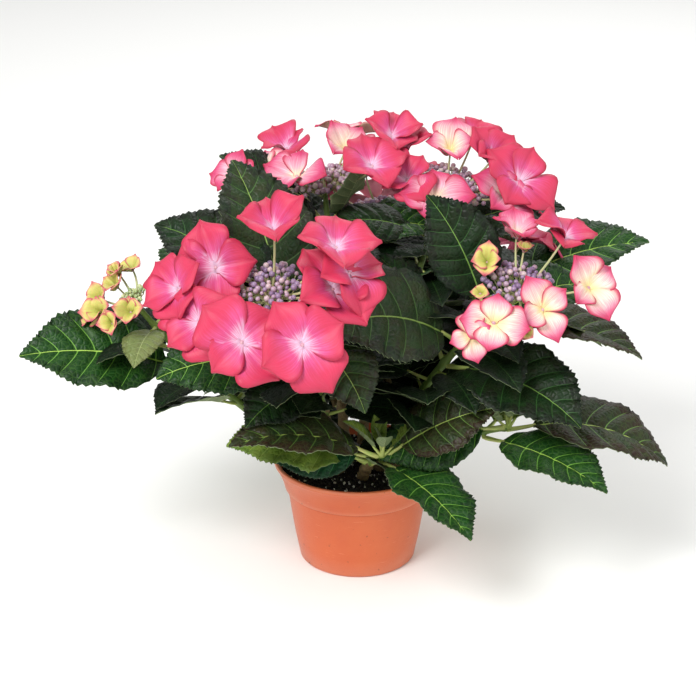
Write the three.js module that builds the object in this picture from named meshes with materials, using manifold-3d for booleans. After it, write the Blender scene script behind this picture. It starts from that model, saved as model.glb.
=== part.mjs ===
// A potted lacecap hydrangea: eleven shoots from one root in a round plastic pot.
// Millimetres, +Z up, the origin at the centre of the pot's underside, and the plant's
// fullest flower head leaning towards -Y. Each shoot, flower head and level of leaves is one solid.
import * as THREE from 'three';
import { mergeVertices } from 'three/addons/utils/BufferGeometryUtils.js';
import Module from 'manifold-3d';

const wasm = await Module();
wasm.setup();

// ---------- driving dimensions ----------
const pot = {
  height: 83, rimRadius: 65, rimThick: 3, collarHeight: 23.5, collarFootRadius: 56,
  neckRadius: 54.5, baseRadius: 45.2, wall: 1.8, floor: 2.5, sides: 28,
  drains: 6, drainRadius: 4, drainSides: 6, drainRing: 31,
};
const soil = { top: 76 };
const gap = 0.3;
const stem = { footRadius: 4.2, topRadius: 2.3, sides: 5, steps: 5, knee: [0.35, 0.62] };
const blade = {
  stations: 4, widthRatio: 0.64, halfThick: 1.3, fold: 12, baseFullness: 0.65, tipFullness: 0.85,
  petioleHalf: 1.5, tipHalf: 0.8, petioleRatio: 0.17, clearance: 0.5,
};
const collar = { radius: 6.4, height: 5, sides: 4, leafStart: 4.2 };
const dome = { radius: 30, half: 7, rings: 4, sides: 8, stemDrop: 8.6 };
const floret = {
  sides: 6, half: 1.5, reach: 0.86, stalkRadius: 1.8, stalkSides: 3, tiltBase: 12, tiltPerOut: 0.45,
};

// Each shoot: its foot on the soil [x, y], the point its top reaches [x, y, z], and its leaves.
// A leaf is [azimuth, rise, droop, length, roll]: it leaves its shoot at `rise` degrees above
// level, has bent down by `droop` degrees at its tip, and `roll` lifts its left edge, seen from
// the shoot. `at` is the fraction of the shoot's length, and `knee` how far out and how far up
// the shoot has come where it bends.
// A flower head's florets are [around, out, lift, radius] about its own leaning axis.
const shoots = {
  front_left: {
    foot: [-14, -12], top: [-64, -88, 253],
    leaves: {
      upper: { at: 0.86, blades: [[150, 44, 40, 104, -25], [-30, 10, 45, 62, 15]] },
      middle: { at: 0.75, blades: [[122, 67, 25, 116, 0], [-56, 8, 58, 84, 15]] },
      side: { at: 0.58, blades: [[-168, 12, 30, 93, -40]] },
      low: { at: 0.42, blades: [[-130, 18, 48, 66, -35], [70, 28, 40, 70, 0]] },
    },
    head: {
      lean: [-110, 28], size: 1,
      florets: [[154, 38, 14, 31], [175, 62, 8, 28], [-150, 54, 6, 29], [-108, 54, 8, 31],
        [-68, 66, 8, 32], [-23, 52, 14, 29], [67, 28, 32, 30], [1, 54, 32, 30],
        [-12, 62, 20, 26]],
    },
  },
  right: {
    foot: [16, -8], top: [119, -45, 240],
    leaves: {
      upper: { at: 0.84, blades: [[-8, 4, 34, 98, 0], [165, 72, 20, 86, -62]] },
      middle: { at: 0.68, blades: [[34, 30, 40, 100, 30], [-142, 36, 42, 122, -48]] },
      low: { at: 0.56, blades: [[-42, 12, 42, 108, 20], [140, 64, 40, 84, 0]] },
    },
    head: {
      lean: [-60, 22], size: 1,
      florets: [[104, 33, 20, 22], [51, 42, 26, 26], [-4, 46, 12, 24], [-74, 38, 12, 24],
        [-114, 60, 8, 21], [158, 30, 8, 14]],
    },
  },
  back_right: {
    foot: [12, 12], top: [70, 50, 285],
    leaves: {
      upper: { at: 0.82, blades: [[8, 28, 40, 90, 20], [-172, 26, 40, 68, -20]] },
      low: { at: 0.62, blades: [[-70, 40, 20, 60, 20], [100, 35, 40, 85, 0]] },
    },
    head: {
      lean: [-70, 22], size: 1,
      florets: [[-155, 38, 14, 25], [-113, 34, 12, 25], [-25, 42, 12, 24], [-6, 50, 18, 27],
        [25, 32, 21, 26], [96, 20, 18, 24], [150, 44, 14, 24], [70, 50, 14, 24]],
    },
  },
  back_left: {
    foot: [-10, 16], top: [-27, 70, 285],
    leaves: {
      upper: { at: 0.86, blades: [[-47, 52, -15, 58, 10], [133, 30, 40, 70, 0]] },
      middle: { at: 0.77, blades: [[177, 52, 25, 92, -30], [-8, 30, 45, 75, 20]] },
      low: { at: 0.66, blades: [[-105, 50, 35, 84, 0], [72, 35, 40, 80, 0]] },
    },
    head: {
      lean: [180, 10], size: 1,
      florets: [[-121, 32, 14, 24], [178, 42, 12, 23], [125, 44, 18, 23], [5, 22, 18, 25],
        [60, 46, 18, 23], [-45, 58, 16, 27], [-6, 58, 26, 25], [-156, 68, 22, 20]],
    },
  },
  left: {
    foot: [-22, 2], top: [-168, -15, 219], knee: [0.6, 0.42],
    leaves: {
      upper: { at: 0.9, blades: [[-101, 14, 55, 48, 0], [60, 30, 40, 60, 0]] },
      low: { at: 0.68, blades: [[-166, 22, 26, 112, -36], [20, 55, 40, 80, 10]] },
    },
    head: {
      lean: [-170, 35], size: 0.5,
      florets: [[117, 20, 8, 15], [-170, 20, 8, 15], [-84, 26, 6, 14], [83, 32, 8, 14]],
    },
  },
  low_front: {
    foot: [4, -22], top: [18, -70, 117],
    leaves: {
      tip: { at: 0.97, blades: [[-8, 40, 25, 82, 40], [-159, 32, 42, 103, -8]] },
      middle: { at: 0.78, blades: [[-54, 2, 30, 94, -8], [178, 8, 28, 64, -50]] },
      low: { at: 0.5, blades: [[-170, 28, 40, 94, -18]] },
    },
  },
  low_right: {
    foot: [24, -16], top: [111, -60, 135],
    leaves: {
      tip: { at: 0.98, blades: [[-3, 12, 58, 112, 8], [-176, -2, 26, 82, -50]] },
      middle: { at: 0.84, blades: [[-38, 5, 27, 94, 4], [40, 28, 30, 58, 0]] },
    },
  },
  back: {
    foot: [4, 28], top: [22, 140, 240],
    leaves: {
      upper: { at: 0.84, blades: [[0, 22, 45, 100, -10], [178, 25, 45, 95, 10]] },
      middle: { at: 0.68, blades: [[88, 22, 50, 110, 0]] },
      low: { at: 0.48, blades: [[150, 22, 45, 95, 10], [30, 20, 45, 95, -10]] },
    },
    head: {
      lean: [90, 25], size: 0.9,
      florets: [[0, 42, 12, 25], [50, 48, 10, 26], [95, 52, 10, 26], [140, 48, 10, 26],
        [185, 42, 14, 25], [-120, 30, 22, 24], [-55, 32, 22, 24]],
    },
  },
  right_rear: {
    foot: [28, 8], top: [118, 108, 208],
    leaves: {
      upper: { at: 0.82, blades: [[-2, 36, 34, 122, 15], [165, 30, 45, 85, 0]] },
      low: { at: 0.64, blades: [[75, 15, 45, 105, 0]] },
    },
    head: {
      lean: [45, 28], size: 0.8,
      florets: [[-20, 38, 10, 23], [45, 42, 8, 24], [100, 38, 10, 24], [155, 32, 16, 23],
        [-80, 32, 16, 23]],
    },
  },
  left_rear: {
    foot: [-28, 20], top: [-120, 112, 180],
    leaves: {
      tip: { at: 0.98, blades: [[115, 25, 45, 84, 0], [-25, 50, 35, 70, 0]] },
      middle: { at: 0.84, blades: [[55, 15, 45, 100, 0], [-150, 25, 40, 66, -10]] },
      low: { at: 0.66, blades: [[150, 16, 40, 84, 0]] },
    },
  },
  low_back: {
    foot: [-8, 38], top: [-34, 104, 122],
    leaves: {
      tip: { at: 0.97, blades: [[165, 18, 50, 95, 10], [-10, 20, 45, 85, -10]] },
      middle: { at: 0.8, blades: [[80, 8, 45, 105, 0]] },
    },
  },
};

const finish = {
  pot: { color: 0xdf7848, roughness: 0.45 },
  soil: { color: 0x1c1713, roughness: 0.95 },
  stem: { color: 0x7d9a3d, roughness: 0.6 },
  leaves: { color: 0x24401f, roughness: 0.5 },
  flowers: { color: 0xe84f78, roughness: 0.6 },
};

const up = new THREE.Vector3(0, 0, 1);
const radians = THREE.MathUtils.degToRad;

// ---------- solids ----------
function solidOf(geometry) {
  const bare = geometry.clone();
  bare.deleteAttribute('normal');
  bare.deleteAttribute('uv');
  const merged = mergeVertices(bare, 1e-4);
  return new wasm.Manifold(new wasm.Mesh({
    numProp: 3,
    vertProperties: new Float32Array(merged.attributes.position.array),
    triVerts: new Uint32Array(merged.index.array),
  }));
}

function geometryOf(solid) {
  const mesh = solid.getMesh();
  const geometry = new THREE.BufferGeometry();
  geometry.setAttribute('position', new THREE.BufferAttribute(new Float32Array(mesh.vertProperties), 3));
  geometry.setIndex(new THREE.BufferAttribute(new Uint32Array(mesh.triVerts), 1));
  return geometry;
}

function largestPiece(solid) {
  const pieces = solid.decompose();
  return pieces.reduce((best, piece) => (piece.volume() > best.volume() ? piece : best));
}

// Moves every vertex of a geometry to place(vertex).
function reshape(geometry, place) {
  const positions = geometry.attributes.position;
  const vertex = new THREE.Vector3();
  for (let i = 0; i < positions.count; i += 1) {
    const moved = place(vertex.fromBufferAttribute(positions, i));
    positions.setXYZ(i, moved.x, moved.y, moved.z);
  }
  return geometry;
}

function namedMesh(name, geometry, { color, roughness }) {
  const material = new THREE.MeshStandardMaterial({ color, roughness, metalness: 0 });
  const mesh = new THREE.Mesh(geometry, material);
  mesh.name = name;
  return mesh;
}

// ---------- pot and soil ----------
function lathe(profile, sides) {
  const points = profile.map(([radius, z]) => new THREE.Vector2(radius, z));
  return solidOf(new THREE.LatheGeometry(points, sides).rotateX(Math.PI / 2));
}

const collarFoot = pot.height - pot.collarHeight;

function potSolid() {
  const shell = lathe([
    [0, 0], [pot.baseRadius - 1.5, 0], [pot.baseRadius, 1.5], [pot.neckRadius, collarFoot],
    [pot.collarFootRadius, collarFoot], [pot.rimRadius, pot.height - 1], [pot.rimRadius - 1, pot.height],
    [pot.rimRadius - pot.rimThick, pot.height], [pot.neckRadius - pot.wall, collarFoot - 1],
    [pot.baseRadius - pot.wall, pot.floor], [0, pot.floor],
  ], pot.sides);
  const drains = Array.from({ length: pot.drains }, (_, i) => {
    const angle = (i * 2 * Math.PI) / pot.drains;
    const hole = new THREE.CylinderGeometry(pot.drainRadius, pot.drainRadius, 3 * pot.floor, pot.drainSides);
    hole.rotateX(Math.PI / 2).translate(pot.drainRing * Math.cos(angle), pot.drainRing * Math.sin(angle), 0);
    return solidOf(hole);
  });
  return drains.reduce((body, hole) => body.subtract(hole), shell);
}

function soilSolid() {
  const fill = (soil.top - collarFoot + 1) / (pot.height - collarFoot + 1);
  const neckInside = pot.neckRadius - pot.wall;
  const topRadius = neckInside + fill * (pot.rimRadius - pot.rimThick - neckInside);
  return lathe([
    [0, pot.floor + gap], [pot.baseRadius - pot.wall - 2 * gap, pot.floor + gap],
    [neckInside - 2 * gap, collarFoot - 1], [topRadius - 2 * gap, soil.top], [0, soil.top],
  ], pot.sides);
}

// ---------- shoots ----------
// A level direction, counted anticlockwise from +X.
function heading(azimuth) {
  return new THREE.Vector3(Math.cos(azimuth), Math.sin(azimuth), 0);
}

function headAxis(head) {
  const [azimuth, tilt] = head.lean.map(radians);
  return heading(azimuth).multiplyScalar(Math.sin(tilt)).addScaledVector(up, Math.cos(tilt));
}

// The shoot's centre line: it rises first and then leans out, and ends under its flower head.
function centreLine(shoot) {
  const foot = new THREE.Vector3(shoot.foot[0], shoot.foot[1], soil.top + gap);
  const top = new THREE.Vector3(...shoot.top);
  if (shoot.head) top.addScaledVector(headAxis(shoot.head), -dome.stemDrop);
  const span = top.clone().sub(foot);
  const [out, rise] = shoot.knee ?? stem.knee;
  const knee = foot.clone().add(new THREE.Vector3(span.x * out, span.y * out, span.z * rise));
  return new THREE.QuadraticBezierCurve3(foot, knee, top);
}

// The point at fraction t on the straight runs between the shoot's rings.
function nodePoint(curve, t) {
  const ring = Math.min(Math.floor(t * stem.steps), stem.steps - 1);
  const from = curve.getPoint(ring / stem.steps);
  const to = curve.getPoint((ring + 1) / stem.steps);
  return from.lerp(to, t * stem.steps - ring);
}

function stemRadius(t) {
  return THREE.MathUtils.lerp(stem.footRadius, stem.topRadius, t);
}

// A tapering limb on a curve: a cylinder of unit radius and height whose rings are laid along it.
// `overrun` carries the grown copy past both ends.
function stemSolid(shoot, grow = 0) {
  const curve = centreLine(shoot);
  const lean = curve.v2.clone().sub(curve.v0);
  const across = new THREE.Vector3(-lean.y, lean.x, 0).normalize();
  const geometry = new THREE.CylinderGeometry(1, 1, 1, stem.sides, stem.steps);
  return solidOf(reshape(geometry, (v) => {
    const t = v.y + 0.5;
    const tangent = t < 1e-6 ? up : curve.getTangent(t);
    const forward = across.clone().cross(tangent);
    const radius = stemRadius(t) + grow;
    return curve.getPoint(t)
      .addScaledVector(across, v.x * radius)
      .addScaledVector(forward, v.z * radius)
      .addScaledVector(tangent, 2 * grow * Math.sign(t - 0.5) * Number(Math.abs(t - 0.5) > 0.49));
  }));
}

// ---------- leaves ----------
function bladeHalfWidth(s, length) {
  const { baseFullness: a, tipFullness: b } = blade;
  const widest = (a / (a + b)) ** a * (b / (a + b)) ** b;
  return (0.5 * blade.widthRatio * length * s ** a * (1 - s) ** b) / widest;
}

// One leaf with its petiole: a thin folded lens swept along an arc that starts in the collar
// round the shoot, on the leaf's own side.
function leafSolid(node, axis, [azimuthDegrees, riseDegrees, droopDegrees, length, roll], grow) {
  const azimuth = radians(azimuthDegrees);
  const rise = radians(riseDegrees);
  const droop = radians(droopDegrees);
  const petiole = blade.petioleRatio * length;
  const outward = heading(azimuth);
  const across = new THREE.Vector3(-outward.y, outward.x, 0);
  const along = (angle) => new THREE.Vector3(0, 0, Math.sin(angle)).addScaledVector(outward, Math.cos(angle));
  const bladeRadius = length / droop;
  const offset = outward.clone().projectOnPlane(axis).setLength(collar.leafStart);
  const start = node.clone().add(offset);

  const geometry = new THREE.CylinderGeometry(1, 1, 1, 4, blade.stations + 1);
  return solidOf(reshape(geometry, (v) => {
    const station = (v.y + 0.5) * (blade.stations + 1) - 1;
    const s = Math.max(0, 0.5 - 0.5 * Math.cos((Math.PI * Math.max(0, station)) / blade.stations));
    const angle = rise - droop * s;
    const centre = start.clone();
    if (station > -0.5) {
      centre.addScaledVector(along(rise), petiole);
      centre.addScaledVector(outward, bladeRadius * (Math.sin(rise) - Math.sin(angle)));
      centre.addScaledVector(up, bladeRadius * (Math.cos(angle) - Math.cos(rise)));
    }
    const tangent = along(angle);
    const left = across.clone().applyAxisAngle(tangent, radians(roll));
    const normal = tangent.clone().cross(left);
    const ends = station < 0.5 ? blade.petioleHalf : blade.tipHalf;
    const halfWidth = Math.max(ends, bladeHalfWidth(s, length)) + grow;
    const halfThick = (halfWidth > blade.petioleHalf + grow ? blade.halfThick : blade.tipHalf) + grow;
    const side = -v.x * halfWidth;
    return centre
      .addScaledVector(left, side)
      .addScaledVector(normal, v.z * halfThick + Math.abs(side) * Math.tan(radians(blade.fold)))
      .addScaledVector(tangent, s > 0.999 ? grow : 0);
  }));
}

// The leaves of one level: a pair is joined by a collar round the shoot, and one alone has none.
function leavesSolid(shoot, { at, blades }, grow = 0) {
  const curve = centreLine(shoot);
  const node = nodePoint(curve, at);
  const axis = curve.getTangent(at);
  const solids = blades.map((spec) => leafSolid(node, axis, spec, grow));
  if (solids.length === 1) return solids[0];
  const turn = new THREE.Quaternion().setFromUnitVectors(new THREE.Vector3(0, 1, 0), axis);
  const ring = new THREE.CylinderGeometry(
    collar.radius + grow, collar.radius + grow, collar.height + 2 * grow, collar.sides,
  );
  ring.applyQuaternion(turn).translate(node.x, node.y, node.z);
  return solids.reduce((body, leaf) => body.add(leaf), solidOf(ring));
}

// ---------- flower heads ----------
// A floret: a thin plate as wide as its sepals, on a stalk that leaves the dome near its middle.
function floretSolid([aroundDegrees, out, lift, radius], grow) {
  const outward = heading(radians(aroundDegrees));
  const across = new THREE.Vector3(-outward.y, outward.x, 0);
  const tilt = radians(floret.tiltBase + floret.tiltPerOut * Math.max(0, out - lift));
  const facing = up.clone().multiplyScalar(Math.cos(tilt)).addScaledVector(outward, Math.sin(tilt));
  const inPlane = outward.clone().multiplyScalar(Math.cos(tilt)).addScaledVector(up, -Math.sin(tilt));
  const centre = outward.clone().multiplyScalar(out).addScaledVector(up, lift);

  const disc = new THREE.CylinderGeometry(1, 1, 1, floret.sides, 1);
  const plate = solidOf(reshape(disc, (v) => {
    const size = floret.reach * radius + grow;
    return centre.clone()
      .addScaledVector(inPlane, v.x * size)
      .addScaledVector(across, -v.z * size)
      .addScaledVector(facing, v.y * 2 * (floret.half + grow));
  }));

  const root = outward.clone().multiplyScalar(Math.min(0.45 * out, 0.5 * dome.radius));
  const stalkLine = new THREE.LineCurve3(root, centre);
  const stalkAxis = stalkLine.getTangent(0);
  const stalk = new THREE.CylinderGeometry(
    floret.stalkRadius + grow, floret.stalkRadius + grow, root.distanceTo(centre), floret.stalkSides,
  );
  stalk.applyQuaternion(new THREE.Quaternion().setFromUnitVectors(new THREE.Vector3(0, 1, 0), stalkAxis));
  const middle = stalkLine.getPoint(0.5);
  return plate.add(solidOf(stalk.translate(middle.x, middle.y, middle.z)));
}

// A lacecap head: a low dome of small buds with the florets standing round it.
function headSolid(shoot, grow = 0) {
  const { head, top } = shoot;
  const width = dome.radius * head.size + grow;
  const ball = new THREE.SphereGeometry(1, dome.sides, dome.rings).rotateX(Math.PI / 2);
  let body = solidOf(ball.scale(width, width, dome.half + grow));
  for (const spec of head.florets) body = body.add(floretSolid(spec, grow));
  const turn = new THREE.Matrix4().makeRotationFromQuaternion(
    new THREE.Quaternion().setFromUnitVectors(up, headAxis(head)),
  );
  return body.transform(turn.setPosition(...top).elements);
}

// ---------- assembly ----------
// Solids are laid in turn, and each one is cut back by grown copies of those laid before it.
const plant = new THREE.Group();
const grownCopies = [];

function lay(name, solid, grown, look, cutBy = grownCopies) {
  const cut = cutBy.reduce((body, other) => body.subtract(other), solid);
  plant.add(namedMesh(name, geometryOf(largestPiece(cut)), look));
  if (grown) grownCopies.push(grown);
}

plant.add(namedMesh('pot', geometryOf(potSolid()), finish.pot));
plant.add(namedMesh('soil', geometryOf(soilSolid()), finish.soil));

for (const [place, shoot] of Object.entries(shoots)) {
  lay(`stem_${place}`, stemSolid(shoot), stemSolid(shoot, gap), finish.stem, []);
}
for (const [place, shoot] of Object.entries(shoots)) {
  if (shoot.head) lay(`flowers_${place}`, headSolid(shoot), headSolid(shoot, gap), finish.flowers);
}
for (const [place, shoot] of Object.entries(shoots)) {
  for (const [level, spec] of Object.entries(shoot.leaves)) {
    const grown = leavesSolid(shoot, spec, blade.clearance);
    lay(`leaves_${place}_${level}`, leavesSolid(shoot, spec), grown, finish.leaves);
  }
}

export default plant;
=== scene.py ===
import random
from math import atan2, ceil, cos, exp, pi, radians, sin, sqrt, tan

import bmesh
import bpy
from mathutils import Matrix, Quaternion, Vector, noise

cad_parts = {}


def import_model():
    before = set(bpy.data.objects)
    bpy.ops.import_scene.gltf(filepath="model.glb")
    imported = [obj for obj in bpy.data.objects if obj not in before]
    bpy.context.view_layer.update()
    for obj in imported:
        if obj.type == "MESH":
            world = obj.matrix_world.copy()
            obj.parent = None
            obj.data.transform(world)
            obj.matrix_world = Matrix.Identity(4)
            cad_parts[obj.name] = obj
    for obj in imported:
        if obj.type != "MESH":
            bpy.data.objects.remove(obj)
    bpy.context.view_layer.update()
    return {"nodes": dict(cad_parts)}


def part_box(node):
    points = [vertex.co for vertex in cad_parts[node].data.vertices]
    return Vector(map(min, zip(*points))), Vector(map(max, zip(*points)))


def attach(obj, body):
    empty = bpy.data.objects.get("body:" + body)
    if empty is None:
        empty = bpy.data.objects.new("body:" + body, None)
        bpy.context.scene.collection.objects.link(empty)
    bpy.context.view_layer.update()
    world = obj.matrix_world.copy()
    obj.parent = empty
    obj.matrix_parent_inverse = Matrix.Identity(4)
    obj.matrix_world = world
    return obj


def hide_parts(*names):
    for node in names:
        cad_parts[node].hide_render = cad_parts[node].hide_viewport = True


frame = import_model()
scene = bpy.context.scene
scene.view_settings.view_transform = "Standard"
mm = 0.001
up = Vector((0, 0, 1))

# camera

camera = {"target": (-0.0074, 0, 0.1738), "distance": 1.5, "elevation": 22.5, "lens": 102.0, "sensor": 36}


# Places the camera and returns the direction towards it.
def makeCamera():
    data = bpy.data.cameras.new("camera")
    data.lens = camera["lens"]
    data.sensor_width = camera["sensor"]
    eye = bpy.data.objects.new("camera", data)
    scene.collection.objects.link(eye)
    lift = radians(camera["elevation"])
    back = Vector((0, -cos(lift), sin(lift)))
    eye.location = Vector(camera["target"]) + back * camera["distance"]
    eye.rotation_euler = (pi / 2 - lift, 0, 0)
    scene.camera = eye
    return back


towardsViewer = makeCamera()
print("camera placed")

# small helpers


def lerp(a, b, t):
    return a + (b - a) * t


def rise01(t):
    t = min(1, max(0, t))
    return t * t * (3 - 2 * t)


def heading(degrees):
    return Vector((cos(radians(degrees)), sin(radians(degrees)), 0))


# The direction at this heading that climbs by this angle above level.
def climb(azimuth, rise):
    return heading(azimuth) * cos(radians(rise)) + up * sin(radians(rise))


def colourOf(hexText):
    parts = [int(hexText[i:i + 2], 16) / 255 for i in (0, 2, 4)]
    return tuple(p / 12.92 if p <= 0.04045 else ((p + 0.055) / 1.055) ** 2.4 for p in parts) + (1,)


def keepMesh(name, bm):
    mesh = bpy.data.meshes.new(name)
    bm.to_mesh(mesh)
    bm.free()
    return mesh


def meshObject(name, bm, materials, smooth=True):
    for face in bm.faces:
        face.smooth = smooth
    mesh = keepMesh(name, bm)
    for material in materials:
        mesh.materials.append(material)
    piece = bpy.data.objects.new(name, mesh)
    scene.collection.objects.link(piece)
    return piece


def settle(piece, slot, *nodes):
    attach(piece, "root")
    if nodes:
        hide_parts(*nodes)
    return piece


# Adds a copy of a template mesh and returns its new vertices and faces.
def stamp(bm, template):
    vertsBefore, facesBefore = len(bm.verts), len(bm.faces)
    bm.from_mesh(template)
    bm.verts.ensure_lookup_table()
    bm.faces.ensure_lookup_table()
    return bm.verts[vertsBefore:], bm.faces[facesBefore:]


# A closed tube of round rings through the points; shape(step, angle) swells or dents its radius.
def tube(bm, points, radii, sides, shape=None):
    ring = list(bmesh.ops.create_circle(bm, cap_ends=False, segments=sides, radius=1)["verts"])
    angles = [atan2(v.co.y, v.co.x) for v in ring]
    across = (points[1] - points[0]).normalized().orthogonal().normalized()
    rings, faces = [], []
    for step, point in enumerate(points):
        along = (points[min(step + 1, len(points) - 1)] - points[max(step - 1, 0)]).normalized()
        across = (across - along * across.dot(along)).normalized()
        side = along.cross(across)
        if step:
            edges = [e for e in {e for v in ring for e in v.link_edges} if all(v in ring for v in e.verts)]
            out = bmesh.ops.extrude_edge_only(bm, edges=edges)["geom"]
            faces += [g for g in out if isinstance(g, bmesh.types.BMFace)]
            follows = {}
            for v in [g for g in out if isinstance(g, bmesh.types.BMVert)]:
                for e in v.link_edges:
                    if e.other_vert(v) in ring:
                        follows[e.other_vert(v)] = v
            ring = [follows[v] for v in ring]
        for v, angle in zip(ring, angles):
            radius = radii[step] * (shape(step, angle) if shape else 1)
            v.co = point + across * (cos(angle) * radius) + side * (sin(angle) * radius)
        rings.append(ring)
    faces += [bm.faces.new(rings[0]), bm.faces.new(rings[-1])]
    return faces


def curvePoint(line, t):
    foot, knee, top = line
    return foot * (1 - t) ** 2 + knee * (2 * t * (1 - t)) + top * t ** 2


def curveTangent(line, t):
    foot, knee, top = line
    return ((knee - foot) * (1 - t) + (top - knee) * t).normalized()


# materials


# Sets a node's inputs; a value that is a socket is linked in.
def feed(tree, node, values):
    for key, value in values.items():
        if isinstance(value, bpy.types.NodeSocket):
            tree.links.new(value, node.inputs[key])
        else:
            node.inputs[key].default_value = value
    return node


def addNode(tree, kind, values=None, **settings):
    node = tree.nodes.new("ShaderNode" + kind)
    for key, value in settings.items():
        setattr(node, key, value)
    return feed(tree, node, values or {}).outputs


def mathNode(tree, operation, *values):
    return addNode(tree, "Math", dict(enumerate(values)), operation=operation)["Value"]


def mapRange(tree, value, fromMin, fromMax, toMin=0, toMax=1, curve="LINEAR"):
    values = {"Value": value, "From Min": fromMin, "From Max": fromMax, "To Min": toMin, "To Max": toMax}
    return addNode(tree, "MapRange", values, interpolation_type=curve)["Result"]


def mixNode(tree, share, a, b):
    return addNode(tree, "Mix", {"Factor": share, "A": a, "B": b}, data_type="RGBA")["Result"]


def noiseNode(tree, place, scale, detail, roughness=0.5):
    values = {"Vector": place, "Scale": scale, "Detail": detail, "Roughness": roughness}
    return addNode(tree, "TexNoise", values)["Fac"]


def placeNode(tree):
    return addNode(tree, "TexCoord")["Object"]


def shaderOf(material):
    return material.node_tree.nodes["Principled BSDF"]


def newMaterial(name, colour, roughness, extra=None):
    material = bpy.data.materials.new(name)
    material.use_nodes = True
    values = {"Base Color": colourOf(colour), "Roughness": roughness, **(extra or {})}
    feed(material.node_tree, shaderOf(material), values)
    return material


# A node group, its input sockets and its end node.
def newGroup(name, inputs, outputs):
    group = bpy.data.node_groups.new(name, "ShaderNodeTree")
    kinds = {"value": "NodeSocketFloat", "colour": "NodeSocketColor"}
    for labels, way in ((inputs, "INPUT"), (outputs, "OUTPUT")):
        for label, kind in labels.items():
            group.interface.new_socket(label, in_out=way, socket_type=kinds[kind])
    return group, group.nodes.new("NodeGroupInput").outputs, group.nodes.new("NodeGroupOutput")


# Cloudy patches between two colours.
def makeMottle():
    inputs = {"Main": "colour", "Patch": "colour", "Size": "value", "Amount": "value"}
    group, start, end = newGroup("mottle", inputs, {"Color": "colour"})
    clouds = noiseNode(group, placeNode(group), start["Size"], 5, 0.62)
    share = mathNode(group, "MULTIPLY", mapRange(group, clouds, 0.36, 0.66), start["Amount"])
    feed(group, end, {"Color": mixNode(group, share, start["Main"], start["Patch"])})
    return group


# Small cells with soft valleys between them, and a fine grain on top, as a height.
def makeCells():
    inputs = {"Cell Size": "value", "Grain Size": "value", "Grain": "value"}
    group, start, end = newGroup("cells", inputs, {"Height": "value", "Grain Mask": "value", "Net": "value"})
    place = placeNode(group)
    values = {"Vector": place, "Scale": start["Cell Size"]}
    distance = addNode(group, "TexVoronoi", values, feature="DISTANCE_TO_EDGE")["Distance"]
    valley = mapRange(group, distance, 0, 0.28)
    grain = noiseNode(group, place, start["Grain Size"], 4)
    height = mathNode(group, "ADD", valley, mathNode(group, "MULTIPLY", grain, start["Grain"]))
    feed(group, end, {"Height": height, "Grain Mask": grain, "Net": mapRange(group, distance, 0, 0.1, 1, 0)})
    return group


# Colours a sepal from its claw to its tip, with fine veins fanning out and a darker edge.
def makePetalColours():
    inputs = {"Heart": "colour", "Middle": "colour", "Body": "colour", "Edge": "colour", "Spread": "value"}
    group, start, end = newGroup("petalColours", inputs, {"Color": "colour", "Veins": "value"})
    along = addNode(group, "Attribute", attribute_name="along")["Fac"]
    across = addNode(group, "Attribute", attribute_name="across")["Fac"]
    fan = addNode(group, "CombineXYZ", {"X": mathNode(group, "MULTIPLY", across, 13), "Y": along})["Vector"]
    streaks = noiseNode(group, fan, 1.6, 3)
    clouds = noiseNode(group, placeNode(group), 90, 3)
    # how far out a point is, pushed in and out by the streaks and clouds
    ragged = mathNode(group, "MULTIPLY_ADD", streaks, 0.34, along)
    cloudy = mathNode(group, "MULTIPLY_ADD", clouds, 0.22, ragged)
    reach = mathNode(group, "DIVIDE", mathNode(group, "SUBTRACT", cloudy, 0.28), start["Spread"])
    furthest = mathNode(group, "MAXIMUM", mathNode(group, "ABSOLUTE", across), along)
    colour = start["Heart"]
    bands = (("Middle", reach, 0.05, 0.42), ("Body", reach, 0.3, 0.85), ("Edge", furthest, 0.66, 1))
    for name, far, begins, ends in bands:
        share = mapRange(group, far, begins, ends, curve="SMOOTHSTEP")
        colour = mixNode(group, share, colour, start[name])
    veined = mixNode(group, mapRange(group, streaks, 0.42, 0.62, 0, 0.32), colour, start["Edge"])
    feed(group, end, {"Color": veined, "Veins": streaks})
    return group


mottle = makeMottle()
cells = makeCells()
petalColours = makePetalColours()
netShare = 0.13


def addBump(material, height, strength, distance):
    tree = material.node_tree
    bump = addNode(tree, "Bump", {"Strength": strength, "Distance": distance, "Height": height})
    feed(tree, shaderOf(material), {"Normal": bump["Normal"]})


# bump is (cell size, grain size, amount of grain, strength, distance); net colours the valleys.
def mottled(name, main, patch, roughness, size=60.0, amount=0.7, bump=None, net=None, extra=None):
    material = newMaterial(name, main, roughness, extra)
    tree = material.node_tree
    values = {"Main": colourOf(main), "Patch": colourOf(patch), "Size": size, "Amount": amount}
    colour = addNode(tree, "Group", values, node_tree=mottle)["Color"]
    if bump:
        cell, grain, grainAmount, strength, distance = bump
        values = {"Cell Size": cell, "Grain Size": grain, "Grain": grainAmount}
        relief = addNode(tree, "Group", values, node_tree=cells)
        addBump(material, relief["Height"], strength, distance)
        gloss = mapRange(tree, relief["Grain Mask"], 0.3, 0.7, roughness - 0.07, roughness + 0.1)
        feed(tree, shaderOf(material), {"Roughness": gloss})
        if net:
            share = mathNode(tree, "MULTIPLY", relief["Net"], netShare)
            colour = mixNode(tree, share, colour, colourOf(net))
    feed(tree, shaderOf(material), {"Base Color": colour})
    return material


# pot

pot = {
    "sides": 120, "wall": 1.8, "floorThick": 2.5, "rimThick": 3.0, "rimRadius": 65, "neckRadius": 54.5,
    "collarFoot": 56, "baseRadius": 45.2, "collarHeight": 23.5, "footRing": 2.2, "sharpAngle": 40,
    "bevel": 0.35,
}


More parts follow.
